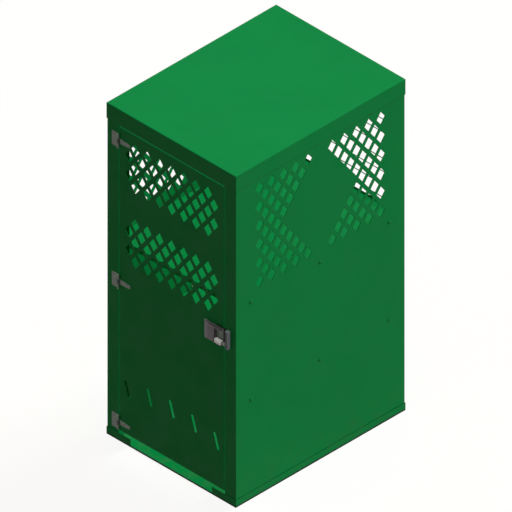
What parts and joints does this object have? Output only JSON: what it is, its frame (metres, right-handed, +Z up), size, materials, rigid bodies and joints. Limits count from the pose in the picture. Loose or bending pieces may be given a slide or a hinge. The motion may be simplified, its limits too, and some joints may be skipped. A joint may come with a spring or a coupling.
{
  "type": "gas cylinder cage",
  "caption": "Tall sheet-steel cabinet for upright gas cylinders, with diamond vents, shelves, an open barred back and a hinged door with a slide-bolt latch.",
  "frame": {"origin": "on the ground under the plan centre of the cage", "axes": "+Z up, -Y out of the door's face, +X to the right of someone who faces the door, towards its latch"},
  "size_m": [0.816, 1.085, 1.803],
  "materials": {
    "green_paint": "satin powder coat",
    "painted_bolt": "satin powder coat",
    "hinge_steel": "dull zinc plate",
    "latch_steel": "dark zinc plate",
    "bolt_steel": "bright steel",
    "zinc": "zinc plate",
    "rubber": "matt"
  },
  "bodies": {
    "cabinet": {"base_tray": "green_paint", "roof_cap": "green_paint", "left_side_panel": "green_paint", "right_side_panel": "green_paint", "front_left_post": "green_paint", "front_right_post": "green_paint", "rear_left_post": "green_paint", "rear_right_post": "green_paint", "front_header": "green_paint", "upper_shelf": "green_paint", "lower_shelf": "green_paint", "guard_strips": "green_paint", "guard_bars": "green_paint", "door_stop_tabs": "green_paint", "top_hinge_leaf": "hinge_steel", "top_hinge_pin": "hinge_steel", "middle_hinge_leaf": "hinge_steel", "middle_hinge_pin": "hinge_steel", "bottom_hinge_leaf": "hinge_steel", "bottom_hinge_pin": "hinge_steel", "hinge_leaf_rivets": "hinge_steel", "latch_keeper": "latch_steel", "shelf_bolts": "painted_bolt", "shelf_nuts": "zinc", "keeper_screws": "zinc", "door_bumpers": "rubber"},
    "door": {"door_panel": "green_paint", "upper_door_stiffener": "green_paint", "lower_door_stiffener": "green_paint", "top_hinge_strap": "hinge_steel", "middle_hinge_strap": "hinge_steel", "bottom_hinge_strap": "hinge_steel", "hinge_strap_rivets": "hinge_steel", "latch_plate": "hinge_steel", "latch_cover": "latch_steel", "latch_bars": "latch_steel", "latch_rivets": "latch_steel"},
    "bolt": {"latch_bolt": "bolt_steel", "bolt_grip": "bolt_steel", "grip_pin": "bolt_steel"}
  },
  "joints": [
    {"name": "door_hinge", "type": "hinge", "parent": "cabinet", "child": "door", "pos_m": [-0.3315, -0.5363, 0.8655], "axis": [0, 0, -1], "range_deg": [0, 170]},
    {"name": "bolt_slide", "type": "slide", "parent": "door", "child": "bolt", "axis": [1, 0, 0], "range_m": [0, 0.018]}
  ]
}
